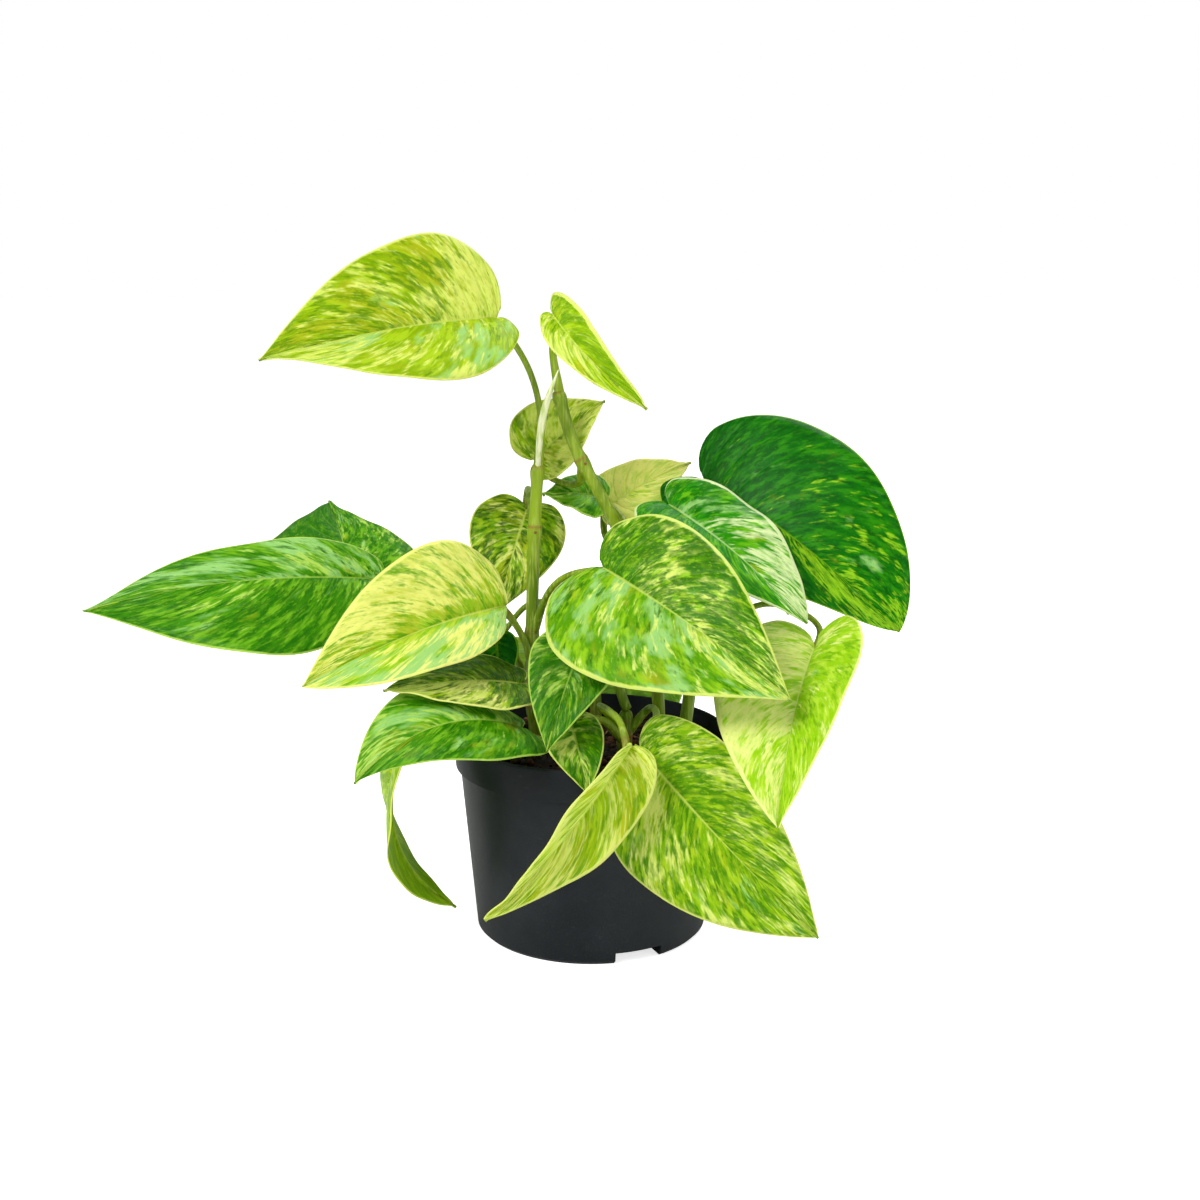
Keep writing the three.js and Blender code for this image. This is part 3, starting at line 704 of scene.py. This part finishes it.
def smoothPath(places, perSpan=24):  # a curve through the places, slow at its close ones
    places = [Vector(place) for place in places]
    ends = [2 * places[0] - places[1]] + places + [2 * places[-1] - places[-2]]
    path = []
    for before, start, finish, after in zip(ends, ends[1:], ends[2:], ends[3:]):
        a, b, c = [(q - p).length ** 0.5 for p, q in ((before, start), (start, finish), (finish, after))]
        leaving = ((start - before) / a - (finish - before) / (a + b) + (finish - start) / b) * b
        arriving = ((finish - start) / b - (after - start) / (b + c) + (after - finish) / c) * b
        for step in range(perSpan):
            t = step / perSpan
            path.append(start + leaving * t + (3 * (finish - start) - 2 * leaving - arriving) * t ** 2
                        + (2 * (start - finish) + leaving + arriving) * t ** 3)
    path.append(places[-1])
    return path


def evenly(path, spacing):  # the same path with points an equal distance apart
    marks = [0]
    for start, finish in zip(path, path[1:]):
        marks.append(marks[-1] + (finish - start).length)
    count = max(3, math.ceil(marks[-1] / spacing))
    spaced, k = [], 0
    for step in range(count + 1):
        wanted = marks[-1] * step / count
        while k < len(path) - 2 and marks[k + 1] < wanted:
            k += 1
        spaced.append(path[k].lerp(path[k + 1], (wanted - marks[k]) / (marks[k + 1] - marks[k])))
    return spaced, marks[-1]


def sweep(bm, path, radii, sides, tones, groove=0, turning=0):  # a ring drawn along the path
    toneLayer = bm.verts.layers.float.get("woody") or bm.verts.layers.float.new("woody")
    headings = [(b - a).normalized() for a, b in zip(path, path[1:])]
    between = [(a + b).normalized() for a, b in zip(headings, headings[1:])]
    headings = [headings[0], *between, headings[-1]]
    across = headings[0].orthogonal().normalized()
    stations = []
    for k, (place, heading) in enumerate(zip(path, headings)):
        if k:
            across = headings[k - 1].rotation_difference(heading) @ across
        turned = Matrix.Rotation(math.radians(turning * k / len(path)), 3, heading) @ across
        axes = Matrix((turned, heading.cross(turned), heading)).transposed().to_4x4()
        size = Matrix.Diagonal((radii[k], radii[k], radii[k], 1))
        stations.append(Matrix.Translation(place) @ axes @ size)
    ring = bmesh.ops.create_circle(bm, cap_ends=True, radius=1, segments=sides)["verts"]
    if groove:
        for v, depth in zip(ring[:3], (groove / 3, groove, groove / 3)):
            v.co *= 1 - depth
    edges = list(dict.fromkeys(edge for v in ring for edge in v.link_edges))
    bmesh.ops.transform(bm, matrix=stations[0], verts=ring)
    for v in ring:
        v[toneLayer] = tones[0]
    for k in range(1, len(stations)):
        made = bmesh.ops.extrude_edge_only(bm, edges=edges)["geom"]
        ring = [item for item in made if isinstance(item, bmesh.types.BMVert)]
        newRing = set(ring)
        lines = [item for item in made if isinstance(item, bmesh.types.BMEdge)]
        edges = [line for line in lines if set(line.verts) <= newRing]
        bmesh.ops.transform(bm, matrix=stations[k] @ stations[k - 1].inverted(), verts=ring)
        for v in ring:
            v[toneLayer] = tones[k]
    bmesh.ops.edgeloop_fill(bm, edges=edges)


def makeStalk(bm, leaf, start):
    axes = bladeAxes(leaf)
    along = (bladePoint(leaf, axes, 0.06, midline) - bladePoint(leaf, axes, 0.02, midline)).normalized()
    up = (axes["face"] - axes["face"].dot(along) * along).normalized()
    under = [bladePoint(leaf, axes, reach, midline) - up * depth for reach, depth in stem["seats"]]
    path, length = evenly(smoothPath([start, *leaf["via"], *under]), stem["stalkSpacing"])
    ridge = stem["underRib"] * axes["length"]  # the last stretch runs on under the midrib
    radii, tones = [], []
    for k in range(len(path)):
        here = length * k / (len(path) - 1)
        ahead = length - ridge - here
        radius = stem["stalkRadius"] + stem["sheath"] * hump(here, stem["sheathLength"])
        radius += stem["bendSwell"] * hump(ahead - stem["bendWidth"], stem["bendWidth"])
        if ahead < 0:
            radius *= max(1 + ahead / ridge, 0) * 0.7 + 0.25
        radii.append(radius)
        tones.append(0.5 * hump(ahead - 3, 3) + 0.25 * hump(here - 4, 3))
    sweep(bm, path, radii, stem["stalkSides"], tones, groove=stem["stalkGroove"])


def makeNub(bm, start, stalkPlace):  # a root nub on the side away from the stalk
    away = (start - Vector(stalkPlace)).normalized()
    away.z = 0.15
    sizes = stem["nubSizes"]
    steps = [step / (len(sizes) - 1) for step in range(len(sizes))]
    path = [start + away * (stem["nubStart"] + stem["nubLength"] * step) for step in steps]
    sweep(bm, path, [stem["nubRadius"] * size for size in sizes], stem["nubSides"], [0.9] * len(sizes))


def makeVine(name, node, vine):
    bm = bmesh.new()
    foot = [(*vine["foot"], height) for height in stem["footHeights"]]
    path, length = evenly(smoothPath(foot + vine["path"]), stem["spacing"])
    joints = [leaf["at"] for leaf in vine["leaves"].values()]
    radii, tones = [], []
    for k in range(len(path)):
        share = k / (len(path) - 1)
        gaps = [(share - joint) * length for joint in joints]
        swell = sum(hump(gap, stem["jointWidth"]) for gap in gaps)
        scar = min(sum(hump(gap - stem["scarAt"], stem["scarWidth"]) for gap in gaps), 1)
        radius = stem["radius"] * (1 - stem["taper"] * share) + stem["jointSwell"] * min(swell, 1.2)
        radius += stem["scar"] * scar
        left = length * (1 - share) / (1.2 * radius)  # the top of the vine is rounded
        radii.append(radius * max(0.2, math.sqrt(1 - max(0, 1 - left) ** 2)))
        low = max(0, (stem["woodyBelow"] - path[k].z) / stem["woodyOver"])
        tones.append(min(1, 0.6 * low + 0.5 * scar + 0.15 * swell))
    sweep(bm, path, radii, stem["sides"], tones)
    for joint, leaf in zip(joints, vine["leaves"].values()):
        start = path[round(joint * (len(path) - 1))]
        makeStalk(bm, leaf, start)
        makeNub(bm, start, leaf["via"][0])
    bmesh.ops.recalc_face_normals(bm, faces=bm.faces)
    addPiece(name, bm, [stemSkin], [node])


def makeStemSkin():
    material, tree, sockets = newMaterial("stemSkin", 0.42, 0.25)
    place = objectPlace(tree)
    broad = cloud(tree, stretched(tree, place, (90, 90, 30)), 1, 3)
    lines = cloud(tree, stretched(tree, place, (900, 900, 60)), 1, 2)
    tint = blendColour(tree, fade(tree, broad, 0.35, 0.65), *colours(stem["greens"]))
    tint = blendColour(tree, fade(tree, lines, 0.45, 0.7, 0, 0.5), tint, colour(stem["lineTint"]))
    woody = calc(tree, "MULTIPLY", attribute(tree, "woody"), calc(tree, "MULTIPLY_ADD", broad, 0.8, 0.6))
    tint = blendColour(tree, fade(tree, woody, 0.1, 0.9), tint, colour(stem["woodTint"]))
    feed(tree, sockets["Base Color"], tint)
    feed(tree, sockets["Roughness"], calc(tree, "MULTIPLY_ADD", woody, 0.3, 0.36))
    addBump(tree, sockets, lines, 0.0003)
    return material


stemSkin = makeStemSkin()
for vineName, vine in vines.items():
    makeVine(vineName.split("_")[1] + "Vine", vineName, vine)
print("vines and stalks made:", len(vines))

shoot = {  # rooted in the tall vine
    "path": [(-22, -6.4, 203), (-21.8, -9, 208.5), (-19, -13, 228), (-13, -13, 245)],
    "radii": (1.2, 1.4, 1.6, 1.3, 0.2), "sides": 14, "spacing": 1.5, "groove": 0.35, "turning": 200,
    "tints": ("#eff0c4", "#c3d879"),
}


def makeShoot():
    bm = bmesh.new()
    path = evenly(smoothPath(shoot["path"]), shoot["spacing"])[0]
    sizes = shoot["radii"]
    radii = []
    for k in range(len(path)):
        place = k / (len(path) - 1) * (len(sizes) - 1)
        low = min(int(place), len(sizes) - 2)
        radii.append(sizes[low] + (sizes[low + 1] - sizes[low]) * (place - low))
    sweep(bm, path, radii, shoot["sides"], [0] * len(path), shoot["groove"], shoot["turning"])
    bmesh.ops.recalc_face_normals(bm, faces=bm.faces)
    material, tree, sockets = newMaterial("shootSkin", 0.4)
    streak = cloud(tree, stretched(tree, objectPlace(tree), (500, 500, 50)), 1, 2)
    tint = blendColour(tree, fade(tree, streak, 0.42, 0.62), *colours(shoot["tints"]))
    feed(tree, sockets["Base Color"], tint)
    addBump(tree, sockets, streak, 0.0002)
    addPiece("rolledShoot", bm, [material], ["shoot"])


makeShoot()
print("shoot made")

# nursery pot

pot = {  # sizes in mm, outlines as (radius, height)
    "outer": [(49, 0), (50.5, 1.5), (57, 73), (57.2, 73.5), (59, 74), (60, 86.5), (59.6, 87.6), (58.7, 88)],
    "inner": [(58.3, 87.6), (57.3, 74), (55.7, 73), (49.2, 4.1), (46.7, 1.6), (0, 1.6)],
    "radius": 60, "height": 88, "steps": 144, "sharpAngle": 32,
    "azimuths": (24, 144, 264), "channelFrom": 31, "channelWidth": 21, "channelHeight": 5,
    "trayRoof": 6.6, "trayWall": 1.3, "holes": (37, 45), "holeRadius": 2.8, "holeMiddle": 6, "holeDepth": 6,
    "plastic": ("#1a1e21", "#25292c"), "scuffTint": "#3b4046",
}


def turnedShell(profile, steps):
    bm = bmesh.new()
    line = [bm.verts.new((radius, 0, height)) for radius, height in profile]
    edges = [bm.edges.new(pair) for pair in zip(line, line[1:])]
    bmesh.ops.spin(bm, geom=line + edges, cent=(0, 0, 0), axis=(0, 0, 1), angle=2 * math.pi,
                   steps=steps, use_merge=True)
    bmesh.ops.remove_doubles(bm, verts=bm.verts, dist=0.001)
    bmesh.ops.recalc_face_normals(bm, faces=bm.faces)
    return bm


def radialBars(start, width, bottom, top):  # a bar for each channel, out past the foot
    bm = bmesh.new()
    for azimuth in pot["azimuths"]:
        turn = Matrix.Rotation(math.radians(azimuth), 4, "Z")
        middle = Matrix.Translation((0, -(start + pot["radius"]) / 2, (bottom + top) / 2))
        size = Matrix.Diagonal((width, pot["radius"] - start, top - bottom, 1))
        bmesh.ops.create_cube(bm, size=1, matrix=turn @ middle @ size)
    return bm


def drainHoles():
    bm = bmesh.new()
    for azimuth in pot["azimuths"]:
        turn = Matrix.Rotation(math.radians(azimuth), 4, "Z")
        for distance in pot["holes"]:
            place = turn @ Matrix.Translation((0, -distance, pot["holeMiddle"]))
            bmesh.ops.create_cone(bm, cap_ends=True, segments=24, radius1=pot["holeRadius"],
                                  radius2=pot["holeRadius"], depth=pot["holeDepth"], matrix=place)
    return bm


def joined(first, second, operation):  # a boolean of two meshes, given back as a mesh
    objects = []
    for bm in (first, second):
        mesh = bpy.data.meshes.new("working")
        bm.to_mesh(mesh)
        bm.free()
        objects.append(bpy.data.objects.new("working", mesh))
        scene.collection.objects.link(objects[-1])
    cut = objects[0].modifiers.new("cut", "BOOLEAN")
    cut.operation = operation
    cut.object = objects[1]
    cut.solver = "EXACT"
    result = bmesh.new()
    result.from_object(objects[0], bpy.context.evaluated_depsgraph_get())
    for item in objects:
        bpy.data.objects.remove(item)
    return result


def makePotPlastic():
    material, tree, sockets = newMaterial("charcoalPlastic", 0.5, 0.16)
    place = objectPlace(tree)
    fine = cloud(tree, place, 1400, 3)
    broad = cloud(tree, place, 28, 3)
    scuffs = cloud(tree, stretched(tree, place, (220, 220, 500)), 1, 4)
    tint = blendColour(tree, fade(tree, broad, 0.35, 0.65), *colours(pot["plastic"]))
    tint = blendColour(tree, fade(tree, scuffs, 0.62, 0.8, 0, 0.3), tint, colour(pot["scuffTint"]))
    feed(tree, sockets["Base Color"], tint)
    feed(tree, sockets["Roughness"], calc(tree, "MULTIPLY_ADD", broad, 0.2, 0.36))
    addBump(tree, sockets, calc(tree, "MULTIPLY_ADD", scuffs, 0.3, fine), 0.00006)
    return material


def makePot():
    outline = [(0, 0), *pot["outer"], (0, pot["height"])]
    shell = turnedShell([(0, 0), *pot["outer"], *pot["inner"]], pot["steps"])
    width, wall, start = pot["channelWidth"], pot["trayWall"], pot["channelFrom"]
    trays = radialBars(start - wall, width + 2 * wall, 0, pot["trayRoof"])
    trays = joined(trays, turnedShell(outline, pot["steps"]), "INTERSECT")
    shell = joined(shell, trays, "UNION")
    shell = joined(shell, radialBars(start, width, -1, pot["channelHeight"]), "DIFFERENCE")
    shell = joined(shell, drainHoles(), "DIFFERENCE")
    bmesh.ops.remove_doubles(shell, verts=shell.verts, dist=0.001)
    piece = addPiece("nurseryPot", shell, [makePotPlastic()], ["pot"])
    piece.data.set_sharp_from_angle(angle=math.radians(pot["sharpAngle"]))


makePot()
print("pot made")

# potting mix

mix = {  # sizes in mm
    "bottom": [(0, 2.2), (45.5, 2.2), (48.6, 5)], "gap": 0.3,  # clear of the raised channels
    "edge": 55.4, "edgeHeight": 73, "flare": 0.3, "flareHeight": 77, "rings": 34, "steps": 110,
    "depthBelowRim": 9, "mound": 3.5, "moundReach": 57, "lump": 0.9, "fine": 1.5, "fineScale": 0.28,
    "crumbs": 620, "chips": 70, "crumbSize": (0.7, 2.2), "crumbsWithin": 1.5, "chipLength": (2, 3.4),
    "tilt": 0.6, "seed": 11,
    "brown": ("#0d0907", "#2c1c14"), "patchTint": "#1d1512", "barkTint": "#4c2a1c", "woodTint": "#9a7350",
}


def mixTop(x, y):
    reach = math.hypot(x, y) / mix["moundReach"]
    lumps = math.sin(x * 0.31 + 1.3) * math.cos(y * 0.27) + 0.6 * math.sin(x * 0.62 - y * 0.55)
    return pot["height"] - mix["depthBelowRim"] + mix["mound"] * (1 - reach ** 2) + mix["lump"] * lumps


def makeMixSkin():
    material, tree, sockets = newMaterial("pottingMixSkin", 0.95, 0.25)
    place = objectPlace(tree)
    grain = cloud(tree, place, 420, 4, 0.65)
    patch = cloud(tree, place, 90, 3)
    tone = attribute(tree, "tone")  # a random value for each crumb and chip
    tint = blendColour(tree, fade(tree, grain, 0.3, 0.7), *colours(mix["brown"]))
    tint = blendColour(tree, fade(tree, patch, 0.45, 0.65, 0, 0.7), tint, colour(mix["patchTint"]))
    tint = blendColour(tree, fade(tree, tone, 0.55, 0.8), tint, colour(mix["barkTint"]))
    tint = blendColour(tree, fade(tree, tone, 0.9, 0.97), tint, colour(mix["woodTint"]))
    feed(tree, sockets["Base Color"], tint)
    addBump(tree, sockets, grain, 0.0008)
    return material


def makePottingMix():
    edge, top, scale = mix["edge"], pot["height"], mix["fineScale"]
    profile = [*mix["bottom"], (edge, mix["edgeHeight"]), (edge + mix["flare"], mix["flareHeight"])]
    profile += [(edge * (1 - ring / mix["rings"]), top) for ring in range(mix["rings"] + 1)]
    wall = pot["trayWall"] + mix["gap"]
    width, roof = pot["channelWidth"] + 2 * wall, pot["trayRoof"] + mix["gap"]
    trays = radialBars(pot["channelFrom"] - wall, width, 0, roof)
    bm = joined(turnedShell(profile, mix["steps"]), trays, "DIFFERENCE")
    toneLayer = bm.verts.layers.float.new("tone")
    for v in bm.verts:
        if v.co.z > top - 1:  # the flat top is lowered to the lumpy mound
            rough = noise.fractal(Vector((v.co.x * scale, v.co.y * scale, 3)), 0.8, 2.1, 4)
            v.co.z = mixTop(v.co.x, v.co.y) + mix["fine"] * rough
    dice = random.Random(mix["seed"])
    noise.seed_set(mix["seed"])  # noise_vector is seeded by the clock otherwise
    for count in range(mix["crumbs"] + mix["chips"]):
        angle = dice.uniform(0, 2 * math.pi)
        reach = (edge - mix["crumbsWithin"]) * math.sqrt(dice.random())
        x, y = reach * math.cos(angle), reach * math.sin(angle)
        size = dice.uniform(*mix["crumbSize"])
        shape = (1, dice.uniform(0.6, 1), dice.uniform(0.5, 0.9))
        if count >= mix["crumbs"]:
            shape = (dice.uniform(*mix["chipLength"]), 0.8, 0.35)
        turn = Matrix.Rotation(dice.uniform(0, 6.28), 4, "Z")
        turn = turn @ Matrix.Rotation(dice.uniform(-mix["tilt"], mix["tilt"]), 4, "X")
        place = Matrix.Translation((x, y, mixTop(x, y) + size * 0.3 + 0.3)) @ turn
        place = place @ Matrix.Diagonal((*shape, 1))
        crumb = bmesh.ops.create_icosphere(bm, subdivisions=1, radius=size, matrix=place)
        tone = dice.random()
        for v in crumb["verts"]:
            v.co += noise.noise_vector(v.co * 0.9) * size * 0.25
            v[toneLayer] = tone
    bmesh.ops.recalc_face_normals(bm, faces=bm.faces)
    addPiece("pottingMix", bm, [makeMixSkin()], ["soil"])


makePottingMix()
print("potting mix made")

# floor


def makeFloor():
    bm = bmesh.new()
    bmesh.ops.create_grid(bm, x_segments=1, y_segments=1, size=studio["floorSize"] / 2)
    mesh = bpy.data.meshes.new("studioFloor")
    bm.to_mesh(mesh)
    bm.free()
    material, tree, sockets = newMaterial("studioPaper", 0.9, 0.1)
    grain = cloud(tree, objectPlace(tree), 40, 2)
    tint = blendColour(tree, grain, *[(tone, tone, tone, 1) for tone in studio["paper"]])
    feed(tree, sockets["Base Color"], tint)
    sockets["Emission Color"].default_value = (1, 1, 1, 1)
    feed(tree, sockets["Emission Strength"], seenByCamera(tree, 0, studio["floorGlow"]))
    mesh.materials.append(material)
    floor = bpy.data.objects.new("studioFloor", mesh)
    scene.collection.objects.link(floor)


makeFloor()
print("floor made")
